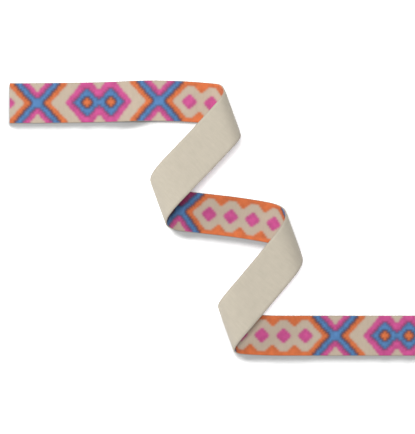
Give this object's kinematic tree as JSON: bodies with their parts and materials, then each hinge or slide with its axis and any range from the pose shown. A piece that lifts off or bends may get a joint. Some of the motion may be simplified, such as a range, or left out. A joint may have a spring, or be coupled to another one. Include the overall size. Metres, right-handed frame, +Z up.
{
  "type": "length of patterned webbing, laid out in a zigzag of loose loops",
  "caption": "Cut length of narrow woven webbing with a diamond and cross pattern, laid in a zigzag of loose loops on a flat surface.",
  "frame": {"origin": "on the surface that the webbing rests on, under the middle of its bounding box", "axes": "+X along the laid stretches, +Z up from the surface, pattern side up where the webbing lies on it"},
  "size_m": [0.4052, 0.26, 0.0451],
  "materials": {
    "webbing": "soft matt weave, cream ground with orange, pink and blue pattern"
  },
  "bodies": {
    "root": {"webbing": "webbing"}
  },
  "joints": []
}
